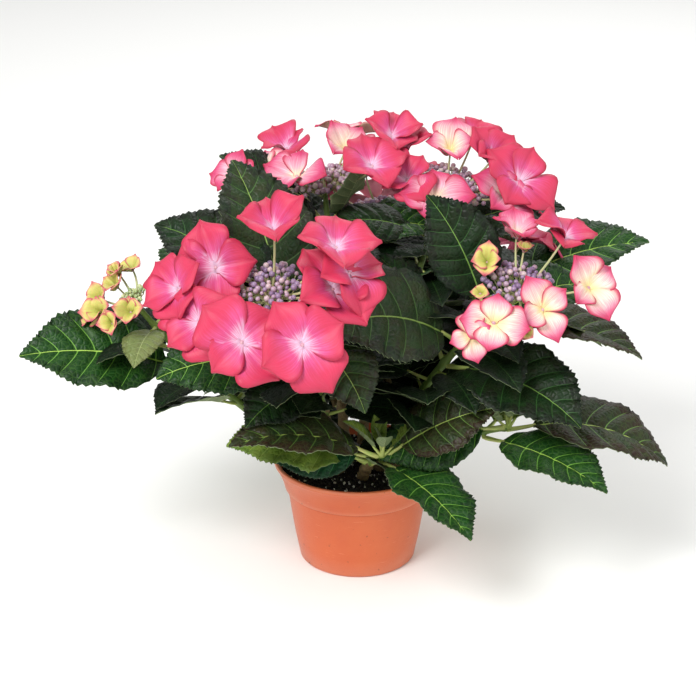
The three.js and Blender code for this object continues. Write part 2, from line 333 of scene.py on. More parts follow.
def makePot():
    low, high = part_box("pot")
    height = (high.z - low.z) / mm
    collar = height - pot["collarHeight"]
    base, neck, rim = pot["baseRadius"], pot["neckRadius"], pot["rimRadius"]
    ledge, foot, inner = pot["collarFoot"], pot["footRing"] - 1.2, rim - pot["rimThick"]
    outside = [
        (0, foot), (base - 6.5, foot), (base - 5.5, 0), (base - 1.6, 0), (base, 1.6),
        (lerp(base, neck, 0.33) + 0.5, collar * 0.33), (lerp(base, neck, 0.66) + 0.5, collar * 0.66),
        (neck, collar - 1.0), (neck + 0.1, collar - 0.5), (ledge + 0.2, collar - 0.2),
        (ledge + 0.9, collar + 0.6), (ledge + 2.3, collar + 6.5),
        (lerp(ledge, rim, 0.55) + 0.1, collar + 13.5),
        (rim - 1.1, height - 4.2), (rim - 0.7, height - 3.8), (rim, height - 3.1), (rim, height - 0.9),
    ]
    inside = [
        (rim - 0.6, height), (inner + 0.6, height), (inner, height - 0.8),
        (neck - pot["wall"] + 1.2, collar + 1), (neck - pot["wall"], collar - 1),
        (base - pot["wall"], pot["floorThick"]), (0, pot["floorThick"]),
    ]
    bm = bmesh.new()
    corners = [bm.verts.new((x * mm, 0, z * mm)) for x, z in outside + inside]
    profile = [bm.edges.new(pair) for pair in zip(corners, corners[1:])]
    bmesh.ops.spin(
        bm, geom=corners + profile, axis=(0, 0, 1), cent=(0, 0, 0), angle=2 * pi, steps=pot["sides"],
        use_merge=True,
    )
    bmesh.ops.remove_doubles(bm, verts=bm.verts, dist=1e-6)
    bmesh.ops.dissolve_degenerate(bm, edges=bm.edges, dist=1e-6)
    bmesh.ops.recalc_face_normals(bm, faces=bm.faces)
    sharpAngle = radians(pot["sharpAngle"])
    sharp = [e for e in bm.edges if e.is_manifold and e.calc_face_angle(0) > sharpAngle]
    bmesh.ops.bevel(
        bm, geom=sharp, offset=pot["bevel"] * mm, offset_type="OFFSET", affect="EDGES", segments=2,
        profile=0.5, material=-1, clamp_overlap=True,
    )
    soft = {"Subsurface Weight": 0.06, "Subsurface Radius": (0.01, 0.004, 0.002), "Specular IOR Level": 0.45}
    bump = (420, 1400, 0.5, 0.06, 0.0004)
    plastic = mottled("potPlastic", "c65c34", "d46f40", 0.34, 16, 0.55, bump, extra=soft)
    addScuffsAndEdgeHighlight(plastic)
    return settle(meshObject("potShell", bm, [plastic]), "pot", "pot")


# Fine pale scratches round the pot, a painted highlight that makes the rim and other convex edges paler, and
# a few dark specks.
def addScuffsAndEdgeHighlight(material):
    tree = material.node_tree
    shader = shaderOf(material)
    place = placeNode(tree)
    stretched = addNode(tree, "Mapping", {"Vector": place, "Scale": (60, 60, 900)})["Vector"]
    scratches = mapRange(tree, noiseNode(tree, stretched, 1, 6, 0.7), 0.62, 0.74, 0, 0.4)
    # painted highlight: convex edges and the rim are made paler, as if light catches them
    paintedEdgeHighlight = mapRange(tree, addNode(tree, "NewGeometry")["Pointiness"], 0.52, 0.58, 0, 0.55)
    specks = mapRange(tree, noiseNode(tree, place, 230, 2), 0.7, 0.76, 0, 0.7)
    colour = shader.inputs["Base Color"].links[0].from_socket
    colour = mixNode(tree, mathNode(tree, "MAXIMUM", scratches, paintedEdgeHighlight), colour, colourOf("f3b592"))
    feed(tree, shader, {"Base Color": mixNode(tree, specks, colour, colourOf("6e3522"))})


# soil

soil = {
    "gap": 0.4, "rings": 26, "swell": 2.2, "depth": 6, "foot": 0.93, "seed": 5,
    "grains": ((700, 0, (0.8, 2.2)), (260, 1, (0.5, 1.2))),
}


def makeSoil():
    chance = random.Random(soil["seed"])
    low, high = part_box("soil")
    radius = high.x - soil["gap"] * mm
    level = high.z - soil["swell"] * mm
    peat = mottled("peat", "15100c", "2a2019", 0.95, 300, 0.8, (500, 900, 1, 0.9, 0.001))
    perlite = mottled("perlite", "e9e6dd", "bdb8aa", 0.85, 900, bump=(1500, 2500, 0.6, 0.5, 0.0004))
    bm = bmesh.new()
    bmesh.ops.create_circle(bm, cap_ends=True, segments=96, radius=radius)
    skin = bm.faces[:]
    for ring in range(soil["rings"]):
        bmesh.ops.inset_region(bm, faces=skin, thickness=radius / (soil["rings"] + 1.5))
        skin = [f for f in bm.faces if len(f.verts) > 4]
    for v in bm.verts:
        far = v.co.length / radius
        lumps = noise.noise(v.co * 260) * 1.3 + noise.noise(v.co * 700) * 0.7
        dip = -1.2 * rise01((far - 0.8) / 0.2)
        v.co.z = level + (lumps * (1 - far ** 6) + dip + 0.6) * mm
    bottom = bmesh.ops.extrude_face_region(bm, geom=bm.faces[:])["geom"]
    for v in [g for g in bottom if isinstance(g, bmesh.types.BMVert)]:
        v.co.x *= soil["foot"]
        v.co.y *= soil["foot"]
        v.co.z = level - soil["depth"] * mm
    bmesh.ops.recalc_face_normals(bm, faces=bm.faces)
    settle(meshObject("soilTop", bm, [peat]), "soil", "soil")

    # crumbs of peat and grains of perlite, as (count, material slot, sizes)
    bm = bmesh.new()
    for count, slot, sizes in soil["grains"]:
        for _ in range(count):
            made = bmesh.ops.create_icosphere(bm, subdivisions=1, radius=1)["verts"]
            far = sqrt(chance.random()) * 0.97 * radius
            spot = heading(chance.uniform(0, 360)) * far
            spot.z = level + chance.uniform(0.0, 1.2) * mm
            size = chance.uniform(*sizes) * mm
            for v in made:
                v.co = spot + v.co * size * chance.uniform(0.7, 1.15)
                v.co.z = min(v.co.z, high.z + 1.5 * mm)
            for face in {f for v in made for f in v.link_faces}:
                face.material_index = slot
    return settle(meshObject("soilCrumbs", bm, [peat, perlite], smooth=False), "soil")


makePot()
makeSoil()
print("pot and soil made")

# The plant, in millimetres and degrees. Each shoot's leaves stand at levels, as (share of the way up
# the stem, leaves). A leaf is (azimuth, rise, droop, length, roll, tint): it leaves its shoot at `rise`
# above level and has bent down by `droop` at its tip, and `roll` lifts its left edge.
leafPlan = {
    "front_left": {
        "upper": (0.86, [(150, 44, 40, 104, -25, "deep"), (-30, 10, 45, 62, 15, "deep")]),
        "middle": (0.75, [(122, 67, 25, 116, 0, "olive"), (-56, 8, 58, 84, 15, "olive")]),
        "side": (0.58, [(-168, 12, 30, 93, -40, "fresh")]),
        "low": (0.42, [(-130, 18, 48, 66, -35, "deep"), (70, 28, 40, 70, 0, "deep")]),
    },
    "right": {
        "upper": (0.84, [(-8, 4, 34, 98, 0, "bronze"), (165, 72, 20, 86, -62, "deep")]),
        "middle": (0.68, [(34, 30, 40, 100, 30, "fresh"), (-142, 36, 42, 122, -48, "olive")]),
        "low": (0.56, [(-42, 12, 42, 108, 20, "deep"), (140, 64, 40, 84, 0, "deep")]),
    },
    "back_right": {
        "upper": (0.82, [(8, 28, 40, 90, 20, "deep"), (-172, 26, 40, 68, -20, "deep")]),
        "low": (0.62, [(-70, 40, 20, 60, 20, "fresh"), (100, 35, 40, 85, 0, "deep")]),
    },
    "back_left": {
        "upper": (0.86, [(-47, 52, -15, 58, 10, "deep"), (133, 30, 40, 70, 0, "deep")]),
        "middle": (0.77, [(177, 52, 25, 92, -30, "deep"), (-8, 30, 45, 75, 20, "fresh")]),
        "low": (0.66, [(-105, 50, 35, 84, 0, "deep"), (72, 35, 40, 80, 0, "deep")]),
    },
    "left": {
        "upper": (0.9, [(-101, 14, 55, 48, 0, "sage"), (60, 30, 40, 60, 0, "fresh")]),
        "low": (0.68, [(-166, 22, 26, 112, -36, "fresh"), (20, 55, 40, 80, 10, "deep")]),
    },
    "low_front": {
        "tip": (0.97, [(-8, 40, 25, 82, 40, "bronze"), (-159, 32, 42, 103, -8, "bronze")]),
        "middle": (0.78, [(-54, 2, 30, 94, -8, "fresh"), (178, 8, 28, 64, -50, "blue")]),
        "low": (0.5, [(-170, 28, 40, 94, -18, "lime")]),
    },
    "low_right": {
        "tip": (0.98, [(-3, 12, 58, 112, 8, "bronze"), (-176, -2, 26, 82, -50, "fresh")]),
        "middle": (0.84, [(-38, 5, 27, 94, 4, "fresh"), (40, 28, 30, 58, 0, "lime")]),
    },
    "back": {
        "upper": (0.84, [(0, 22, 45, 100, -10, "deep"), (178, 25, 45, 95, 10, "fresh")]),
        "middle": (0.68, [(88, 22, 50, 110, 0, "deep")]),
        "low": (0.48, [(150, 22, 45, 95, 10, "fresh"), (30, 20, 45, 95, -10, "bronze")]),
    },
    "right_rear": {
        "upper": (0.82, [(-2, 36, 34, 122, 15, "fresh"), (165, 30, 45, 85, 0, "deep")]),
        "low": (0.64, [(75, 15, 45, 105, 0, "bronze")]),
    },
    "left_rear": {
        "tip": (0.98, [(115, 25, 45, 84, 0, "fresh"), (-25, 50, 35, 70, 0, "deep")]),
        "middle": (0.84, [(55, 15, 45, 100, 0, "deep"), (-150, 25, 40, 66, -10, "fresh")]),
        "low": (0.66, [(150, 16, 40, 84, 0, "bronze")]),
    },
    "low_back": {
        "tip": (0.97, [(165, 18, 50, 95, 10, "fresh"), (-10, 20, 45, 85, -10, "deep")]),
        "middle": (0.8, [(80, 8, 45, 105, 0, "fresh")]),
    },
}
# Each head leans (towards, by) and carries buds and florets. A floret is (around, out, lift, radius,
# kind, towards the viewer, cup) about the head's axis, and some give their spin as well.
heads = {
    "front_left": {
        "lean": (-110, 28), "size": 1, "bud": "lilac", "florets": [
            (154, 38, 14, 31, "rose", 0.85, 6, 3), (175, 62, 8, 28, "rose", 0.3, 14, 15),
            (-150, 54, 6, 29, "rose", 0.35, 8, 30), (-108, 54, 8, 31, "rose", 0.6, 10, 48),
            (-68, 66, 8, 32, "rose", 0.35, 10, 38), (-23, 52, 14, 29, "rose", 0, 14, 35),
            (67, 28, 32, 30, "rose", -0.05, 30), (1, 54, 32, 30, "rose", -0.1, 20),
            (-12, 62, 20, 26, "rose", -0.15, 4),
        ],
    },
    "right": {
        "lean": (-60, 22), "size": 1, "bud": "lilac", "florets": [
            (104, 33, 20, 22, "blush", 0, 30), (51, 42, 26, 26, "rose", 0.1, 18),
            (-4, 46, 12, 24, "cream", 0.6, 20), (-74, 38, 12, 24, "cream", 0.6, 16),
            (-114, 60, 8, 21, "cream", 0.6, 10), (158, 30, 8, 14, "bud", 0.6, 30),
            (-160, 32, -4, 8, "bud", 0.4, 40), (-92, 52, 2, 9, "bud", 0.3, 40),
            (95, 22, 16, 8, "bud", 0.2, 50), (-122, 72, -2, 17, "cream", 0.4, 4),
        ],
    },
    "back_right": {
        "lean": (-70, 22), "size": 1, "bud": "mauve", "florets": [
            (-155, 38, 14, 25, "rose", 0, 12), (-113, 34, 12, 25, "blush", 0.2, 14),
            (-25, 42, 12, 24, "blush", 0.2, 14), (-6, 50, 18, 27, "rose", 0.4, 12),
            (25, 32, 21, 26, "rose", 0.3, 24), (96, 20, 18, 24, "cream", 0.35, 38),
            (150, 44, 14, 24, "rose", 0, 14), (70, 50, 14, 24, "rose", 0, 14),
        ],
    },
    "back_left": {
        "lean": (180, 10), "size": 1, "bud": "mauve", "florets": [
            (-121, 32, 14, 24, "blush", 0.1, 14), (178, 42, 12, 23, "cream", 0.3, 18),
            (125, 44, 18, 23, "rose", 0.3, 18), (5, 22, 18, 25, "cream", 0.35, 34),
            (60, 46, 18, 23, "cream", 0, 18), (-45, 58, 16, 27, "rose", 0.1, 12),
            (-6, 58, 26, 25, "rose", 0.3, 24), (-156, 68, 22, 20, "blush", 0.3, 16),
        ],
    },
    "left": {
        "lean": (-170, 35), "size": 0.5, "bud": "green", "florets": [
            (117, 20, 8, 13, "bud", 0.45, 44), (-170, 24, 6, 14, "bud", 0.5, 40),
            (-84, 28, 2, 13, "bud", 0.5, 36), (83, 32, 8, 13, "bud", 0.4, 30),
            (150, 26, 8, 13, "bud", 0.5, 40), (-118, 30, 2, 12, "bud", 0.5, 44),
            (175, 34, 2, 12, "bud", 0.4, 36), (98, 22, 14, 11, "bud", 0.4, 52),
        ],
    },
    "back": {
        "lean": (90, 25), "size": 0.9, "bud": "lilac", "florets": [
            (0, 42, 12, 25, "rose", 0, 12), (50, 48, 10, 26, "rose", 0, 10),
            (95, 52, 10, 26, "blush", 0, 12), (140, 48, 10, 26, "rose", 0, 10),
            (185, 42, 14, 25, "rose", 0, 14), (-120, 30, 22, 24, "blush", 0, 20),
            (-55, 32, 22, 24, "rose", 0, 20),
        ],
    },
    "right_rear": {
        "lean": (45, 28), "size": 0.8, "bud": "mauve", "florets": [
            (-20, 38, 10, 23, "blush", 0, 12), (45, 42, 8, 24, "rose", 0, 10),
            (100, 38, 10, 24, "rose", 0, 12), (155, 32, 16, 23, "cream", 0, 16),
            (-80, 32, 16, 23, "rose", 0, 16),
        ],
    },
}

# stems

stem = {
    "footRadius": 4.2, "topRadius": 2.3, "sides": 14, "rings": 90, "slim": 0.92, "nodeSwell": 0.35,
    "nodeSpan": 0.018, "bareNodes": [0.3, 0.16], "ridge": 0.05, "flare": 0.25, "woodTop": 0.34,
    "flowerlessWoodTop": 0.5,
}


# The frame's stems are rings of five corners with a centre corner in each end cap.
def shootLine(place):
    bm = bmesh.new()
    bm.from_mesh(frame["nodes"][f"stem_{place}"].data)
    bmesh.ops.remove_doubles(bm, verts=bm.verts, dist=1e-5)
    corners = [v.co.copy() for v in bm.verts]
    bm.free()
    low = min(corners, key=lambda c: c.z)
    chord = (max(corners, key=lambda c: (c - low).length) - low).normalized()
    corners.sort(key=lambda c: (c - low).dot(chord))
    sides, cap = 5, 6
    foot = sum(corners[:cap], Vector()) / cap
    top = sum(corners[-cap:], Vector()) / cap
    second = corners[cap + sides:cap + 2 * sides]
    t = 0.4
    knee = (sum(second, Vector()) / sides - foot * (1 - t) ** 2 - top * t ** 2) / (2 * t * (1 - t))
    return foot, knee, top


def makeStems(lines):
    bm = bmesh.new()
    for number, (place, line) in enumerate(lines.items()):
        nodes = [at for at, blades in leafPlan[place].values()] + stem["bareNodes"]
        points, radii = [], []
        for ring in range(stem["rings"] + 1):
            t = ring / stem["rings"]
            swell = max(exp(-((t - at) / stem["nodeSpan"]) ** 2) for at in nodes) * stem["nodeSwell"]
            plain = lerp(stem["footRadius"], stem["topRadius"], t) * mm
            points.append(curvePoint(line, t))
            radii.append(plain * (stem["slim"] + swell + stem["flare"] * (1 - t) ** 12))

        def bark(step, angle):
            woody = rise01(1.2 - 2.4 * step / stem["rings"])
            spot = Vector((cos(angle) * 2.2, sin(angle) * 2.2, step * 0.12 + 9 * number))
            return 1 + stem["ridge"] * (0.5 + 2.2 * woody) * noise.noise(spot)

        woodTop = stem["woodTop" if place in heads else "flowerlessWoodTop"]
        foot = line[0]
        length = (line[2] - foot).length
        for face in tube(bm, points, radii, stem["sides"], shape=bark):
            spot = face.calc_center_median()
            reach = (spot - foot).length / length + 0.05 * noise.noise(spot * 300)
            face.material_index = 0 if reach < woodTop else 1
    bmesh.ops.recalc_face_normals(bm, faces=bm.faces)
    wood = mottled("youngWood", "6f5a3a", "8d7b4e", 0.75, 220, bump=(600, 1100, 0.8, 0.5, 0.0006))
    green = mottled("greenStem", "5b7a2d", "76883f", 0.5, 160, bump=(900, 1800, 0.6, 0.25, 0.0004))
    piece = meshObject("stems", bm, [wood, green])
    return settle(piece, "stem", *[f"stem_{place}" for place in lines])


lines = {place: shootLine(place) for place in leafPlan}
makeStems(lines)
print("stems made")

# leaves

# lengths and widths here are shares of the blade's length
leaf = {
    "widthRatio": 0.64, "baseFullness": 0.65, "tipFullness": 0.85, "petioleRatio": 0.17, "thick": 0.0042,
    "sweep": 0.2, "quilt": 0.02, "vein": 0.0044, "midrib": 0.0068, "keel": 0.009, "tooth": 0.0125,
    "veinEnd": 0.88, "dripTip": 0.3, "firstVein": 0.075, "lastVein": 0.86, "stations": 48,
}
leafDetail = {
    "fine": {"veins": 7, "between": 4, "columns": (0, 0.12, 0.27, 0.43, 0.6, 0.76, 0.9, 1)},
    "plain": {"veins": 5, "between": 1, "columns": (0, 0.4, 0.8, 1)},
}
# each tint: blade near the midrib, blade near the edge, their patches, side veins, midrib
tints = {
    "deep": ("10280f", "0c190e", "221f13", "2b5122", "6d9342"),
    "fresh": ("153d13", "102c12", "25421a", "6da03f", "abd05c"),
    "olive": ("1f3619", "1a261a", "35291a", "43642f", "86a350"),
    "bronze": ("202f18", "261f16", "3d2719", "5d8038", "a3bb5a"),
    "blue": ("113c22", "0d2b1a", "1a3c22", "3f7c48", "86b25a"),
    "lime": ("6f8a36", "58742f", "7f843a", "9aad5c", "b6c07a"),
    "sage": ("6f7d4a", "66713f", "71704a", "8f9c63", "a9b57a"),
    "shade": ("0d1f0d", "0a150b", "151a0f", "1c3a18", "345526"),
}
bladeParts = ("Inner", "Outer", "Vein", "Midrib")


def halfWidth(s):
    a, b = leaf["baseFullness"], leaf["tipFullness"]
    widest = (a / (a + b)) ** a * (b / (a + b)) ** b
    s = min(1, max(0, s))
    drawnIn = 1 - leaf["dripTip"] * rise01((s - 0.7) / 0.3)
    return 0.5 * leaf["widthRatio"] * s ** a * (1 - s) ** b / widest * drawnIn


# The rows of a leaf, as (vein below, vein above, share of the way between them, side of the vein band).
def leafRows(veins, between):
    centres = [lerp(leaf["firstVein"], leaf["lastVein"], (k / (veins - 1)) ** 0.92) for k in range(veins)]
    rows = [(0, 0, 0, 0), (0, centres[0], 0.5, 0)]
    for k, centre in enumerate(centres):
        rows += [(centre, centre, 0, -1), (centre, centre, 0, 1)]
        following = centres[k + 1] if k + 1 < veins else 1
        rows += [(centre, following, (j + 1) / (between + 1), 0) for j in range(between)]
    return rows + [(1, 1, 0, 0)]


# A flat leaf of length 1 along +Y with its veins, quilting and teeth, as a thin closed shell.
# Face slots: 0 inner blade, 1 outer blade, 2 side veins, 3 midrib, 4 underside, 5 veins underneath.
def leafTemplate(name, detail, seed):
    chance = random.Random(seed)
    rows = leafRows(detail["veins"], detail["between"])
    columns = detail["columns"]
    last = len(columns) - 1
    bm = bmesh.new()
    acrossCount, rowCount = 2 * last + 1, len(rows) - 1
    bmesh.ops.create_grid(bm, x_segments=acrossCount, y_segments=rowCount, size=0.5)
    bands, shareOut = {}, {}
    for v in bm.verts:
        column = round((v.co.x + 0.5) * acrossCount) - last
        row = round((v.co.y + 0.5) * rowCount)
        side = 1 if column > 0 else -1
        f = columns[column - 1 if column > 0 else -column]
        lower, upper, share, band = rows[row]
        narrow = leaf["vein"] * (1 - 0.75 * f)
        a = lerp(lower + narrow, upper - narrow, share) if upper > lower else lower + band * narrow
        shift = side * 0.012 * sin(pi * a)
        margin = a + leaf["sweep"] * sin(pi * a) * (1 - 0.25 * a)
        s = min(1, a + (min(1, margin) - a) * f ** 1.35 + shift * (1 - a))
        if a in (0, 1):
            s = a
        mid = leaf["midrib"] * (1 - 0.8 * s)
        edge = max(halfWidth(min(1, margin)), mid * 1.15)
        toothed = 0
        if f > 0.85 and 0.04 < a < 0.985:
            odd = row % 2
            toothed = leaf["tooth"] * (0.8 if odd else -0.5) * (f - 0.8) * 5 * chance.uniform(0.75, 1.2)
            s += 0.6 * abs(toothed) if odd else -0.3 * abs(toothed)
        x = mid + (edge - mid) * f + toothed * min(1, edge * 8)
        bulge = sin(pi * share) * sqrt(max(0, 4 * f * (1 - f * 0.93)))
        z = leaf["quilt"] * bulge * (0.5 + 2.2 * halfWidth(margin))
        z += 0.007 * noise.noise(Vector((x * side * 9, s * 9, seed))) * f
        # veins and midrib lie in grooves
        if band:
            z -= 0.003 * (1 - f)
        if f == 0:
            z -= 0.006 * (1 - s)
        v.co = Vector((side * x, s, z))
        bands[v] = band
        shareOut[v] = f
    for face in bm.faces:
        far = sum(shareOut[v] for v in face.verts) / 4
        ragged = far + 0.28 * noise.noise(face.calc_center_median() * 11 + Vector((seed * 7.3, 0, 0)))
        face.material_index = 1 if ragged > 0.72 else 0
        if far == 0:
            face.material_index = 3
        elif sorted(bands[v] for v in face.verts) == [-1, -1, 1, 1] and far < leaf["veinEnd"]:
            face.material_index = 2
    upper = set(bm.faces)
    bmesh.ops.solidify(bm, geom=bm.faces[:], thickness=leaf["thick"])
    bmesh.ops.recalc_face_normals(bm, faces=bm.faces)
    for face in bm.faces:
        if face.normal.z < 0 or (face not in upper and abs(face.normal.z) < 0.2):
            face.material_index = 5 if face.material_index in (2, 3) else 4
    # the midrib stands out underneath
    for v in bm.verts:
        if abs(v.co.x) <= leaf["midrib"] * 1.02 and v.normal.z < -0.3:
            v.co.z -= leaf["keel"] * (1 - v.co.y) ** 0.6
    return keepMesh(name, bm)


# The run of a blade: stations of (place, left, normal), from its petiole's end.
def bladeRun(start, azimuth, rise, droop, length, roll, sweep=0, twist=0, tipCurl=0):
    place = start.copy()
    stations = []
    for step in range(leaf["stations"] + 1):
        s = step / leaf["stations"]
        outward = heading(azimuth + sweep * s)
        tangent = climb(azimuth + sweep * s, rise - droop * s - tipCurl * s ** 3)
        across = Vector((-outward.y, outward.x, 0))
        left = Quaternion(tangent, radians(roll + twist * (s - 0.4))) @ across
        stations.append((place.copy(), left, tangent.cross(left)))
        place += tangent * (length / leaf["stations"])
    return stations


# Bends a copy of the flat leaf along the run, folded by `fold` degrees with its edges curled back.
def layLeaf(bm, template, run, length, tint, width, fold, curl, wave=(0, 0)):
    verts, faces = stamp(bm, template)
    slots = list(tints)
    parts = len(bladeParts)
    first = parts * slots.index(tint)
    last = len(run) - 1
    lift = tan(radians(fold))
    for v in verts:
        x, y, z = v.co
        at = min(max(y, 0), 1) * last
        low = min(int(at), last - 1)
        place, left, normal = (a.lerp(b, at - low) for a, b in zip(run[low], run[low + 1]))
        x *= width
        ripple = wave[0] * x * x * sin(wave[1] + y * 15 + (2 if x > 0 else 0))
        height = z + abs(x) * lift - curl * x * x + ripple
        # the template's +X side is the right edge, so left is -X
        v.co = place + left * (-x * length) + normal * (height * length)
    for face in faces:
        slot = face.material_index
        face.material_index = first + slot if slot < parts else parts * len(slots) + slot - parts
        face.normal_flip()


def leafMaterials():
    materials = []
    for tint, (inner, outer, patch, vein, midrib) in tints.items():
        for part, main in zip(bladeParts, (inner, outer)):
            name = f"leaf{tint.capitalize()}{part}"
            bump = (240, 1500, 0.25, 0.45, 0.0008)
            gloss = {"Specular IOR Level": 0.2}
            materials.append(mottled(name, main, patch, 0.42, 70, 0.45, bump, vein, gloss))
        for part, main in zip(bladeParts[2:], (vein, midrib)):
            name = f"leaf{tint.capitalize()}{part}"
            materials.append(newMaterial(name, main, 0.5, {"Specular IOR Level": 0.3}))
    under = mottled("leafUnder", "75855a", "5f6f47", 0.75, 90, bump=(430, 1500, 0.3, 0.4, 0.0006))
    return materials + [under, newMaterial("leafVeinUnder", "a3b07a", 0.65)]


petiole = {"radius": 1.55, "endRadius": 1.25, "swell": 1.35, "sag": 0.04, "sides": 7, "steps": 7}


# Where a leaf leaves its shoot: its petiole's start, a point inside the stem, and its direction.
def leafNode(line, at, azimuth, rise, out, inner):
    node, axis = curvePoint(line, at), curveTangent(line, at)
    outward = heading(azimuth)
    aside = (outward - axis * outward.dot(axis)).normalized()
    return node + aside * out * mm, node + aside * inner * mm, climb(azimuth, rise)


def layPetiole(bm, start, inside, base, tangent, size=1):
    steps = petiole["steps"] + 1
    middle = start + (base - start) * 0.5 - up * petiole["sag"] * (base - start).length
    line = start, middle, base + tangent * 2 * mm
    points = [inside] + [curvePoint(line, step / petiole["steps"]) for step in range(steps)]
    thick, slim = petiole["radius"] * size * mm, petiole["endRadius"] / petiole["radius"]
    radii = [thick * lerp(petiole["swell"], slim, i / steps) for i in range(steps + 1)]
    tube(bm, points, radii, petiole["sides"])


leafGroups = {
    "leavesFrontLeft": ("front_left", "left"),
    "leavesFront": ("low_front", "low_right", "right"),
    "leavesMiddle": ("back_left", "back_right"),
    "leavesRear": ("back", "right_rear", "left_rear", "low_back"),
}


def makeLeaves():
    chance = random.Random(12)
    fine = [leafTemplate(f"leafShape{i}", leafDetail["fine"], i + 3) for i in range(3)]
    plain = leafTemplate("leafShapePlain", leafDetail["plain"], 9)
    materials = leafMaterials()
    stalks = bmesh.new()
    for name, places in leafGroups.items():
        bm = bmesh.new()
        replaced = []
        for place in places:
            for level, (at, blades) in leafPlan[place].items():
                replaced.append(f"leaves_{place}_{level}")
                for azimuth, rise, droop, length, roll, tint in blades:
                    begin, inside, tangent = leafNode(lines[place], at, azimuth, rise, 4.2, 0.8)
                    base = begin + tangent * (leaf["petioleRatio"] * length * mm)
                    layPetiole(stalks, begin, inside, base, tangent)
                    run = bladeRun(
                        base, azimuth, rise, droop, length * mm, roll, chance.uniform(-5, 5),
                        chance.uniform(-9, 9), chance.uniform(0, 10),
                    )
                    layLeaf(
                        bm, chance.choice(fine), run, length * mm, tint, chance.uniform(0.94, 1.04),
                        chance.uniform(7, 15), chance.uniform(0.2, 0.7),
                        (chance.uniform(0.1, 0.35), chance.uniform(0, 6)),
                    )
        layInnerLeaves(bm, stalks, plain, places)
        layYoungTips(bm, stalks, fine[1], places)
        settle(meshObject(name, bm, materials), "leaf", *replaced)
        print(name, "made")
    green = mottled("petioleGreen", "a3b95c", "b0a868", 0.5, 140, bump=(900, 1800, 0.5, 0.2, 0.0004))
    bmesh.ops.recalc_face_normals(stalks, faces=stalks.faces)
    return settle(meshObject("petioles", stalks, [green]), "stem")


youngTips = {"pairs": ((20, 46, 34), (110, 62, 24), (15, 76, 15)), "step": 3.2, "seed": 4}


# Three small upright pairs, each crossing the last, at the end of every flowerless shoot.
def layYoungTips(bm, stalks, template, places):
    chance = random.Random(youngTips["seed"])
    for place in [place for place in places if place not in heads]:
        top = lines[place][2]
        for level, (turn, rise, length) in enumerate(youngTips["pairs"]):
            node = top + up * (level * youngTips["step"] * mm)
            for half in (0, 180):
                azimuth = turn + half + chance.uniform(-15, 15)
                size = length * chance.uniform(0.85, 1.15) * mm
                outward = heading(azimuth)
                steep = rise + chance.uniform(-8, 8)
                tangent = climb(azimuth, steep)
                base = node + outward * mm + tangent * 0.25 * size
                layPetiole(stalks, node + outward * mm, node, base, tangent, 0.7)
                run = bladeRun(base, azimuth, steep, chance.uniform(-10, 25), size, 0)
                layLeaf(bm, template, run, size, "lime", 0.9, 26, 0.2)
        tube(stalks, [top - up * mm, top + up * 5 * mm, top + up * 9 * mm], [2.3 * mm, 1.7 * mm, 0.9 * mm], 8)


# Leaves whose tips would hang below the skirt, a rising cone round the pot, are left out.
innerLeaves = {
    "seed": 31, "lowestLevel": 0.22, "highestLevel": 0.78, "flowerless": 0.46, "step": 0.058,
    "clear": 0.022, "lengths": (50, 84), "lowest": 112, "lowLengths": (30, 44), "tint": "shade",
    "skirt": 60, "skirtRise": 0.45,
}


# Small shaded leaves in crossing pairs on the lower part of each shoot.
def layInnerLeaves(bm, stalks, template, places):
    chance = random.Random(innerLeaves["seed"] + len(places[0]))
    for place in places:
        taken = [at for at, blades in leafPlan[place].values()]
        turn = chance.uniform(0, 180)
        at = innerLeaves["lowestLevel"]
        highest = innerLeaves["highestLevel" if place in heads else "flowerless"]
        while at < highest:
            at += innerLeaves["step"]
            turn += 90
            if min(abs(at - other) for other in taken) < innerLeaves["clear"]:
                continue
            low = curvePoint(lines[place], at).z < innerLeaves["lowest"] * mm
            for half in (0, 180):
                azimuth = turn + half + chance.uniform(-25, 25)
                rise, droop = chance.uniform(12, 52 - 40 * at), chance.uniform(25, 60)
                length = chance.uniform(*innerLeaves["lowLengths" if low else "lengths"]) * mm
                begin, inside, tangent = leafNode(lines[place], at, azimuth, rise, 2.4, 0.5)
                base = begin + tangent * 0.2 * length
                tip = base + climb(azimuth, rise - droop / 2) * length
                roll = chance.uniform(-30, 30)
                if tip.z < innerLeaves["skirt"] * mm + innerLeaves["skirtRise"] * tip.xy.length:
                    continue
                layPetiole(stalks, begin, inside, base, tangent, 0.75)
                run = bladeRun(base, azimuth, rise, droop, length, roll)
                layLeaf(bm, template, run, length, innerLeaves["tint"], 0.95, 12, 0.4)


makeLeaves()
print("leaves made")

# flower heads

# lengths and widths here are shares of the sepal's length
sepal = {
    "rows": 14, "columns": 12, "tipRows": 1.25, "width": 0.55, "thick": 0.014, "shoulder": 1.24, "full": 0.62,
    "point": 0.72, "pointFrom": 0.68, "claw": 0.15, "crease": 0.2, "cup": 0.4, "big": 1.14, "small": 0.98,
}
# each kind: the heart, middle, body and edge of its face, how far the heart spreads, and its back
petals = {
    "rose": ("dcc0d6", "cb5088", "c73658", "b62c49", 0.8, "dc5f84"),
    "blush": ("eee3c4", "e6b3c2", "cb4577", "bb3052", 0.95, "e79aa6"),
    "cream": ("e9e0a2", "f0e0cf", "d56a95", "c02f56", 1.08, "eccaac"),
    "bud": ("9db04a", "c5cc68", "dfd784", "c9566c", 1.25, "d6d08e"),
}


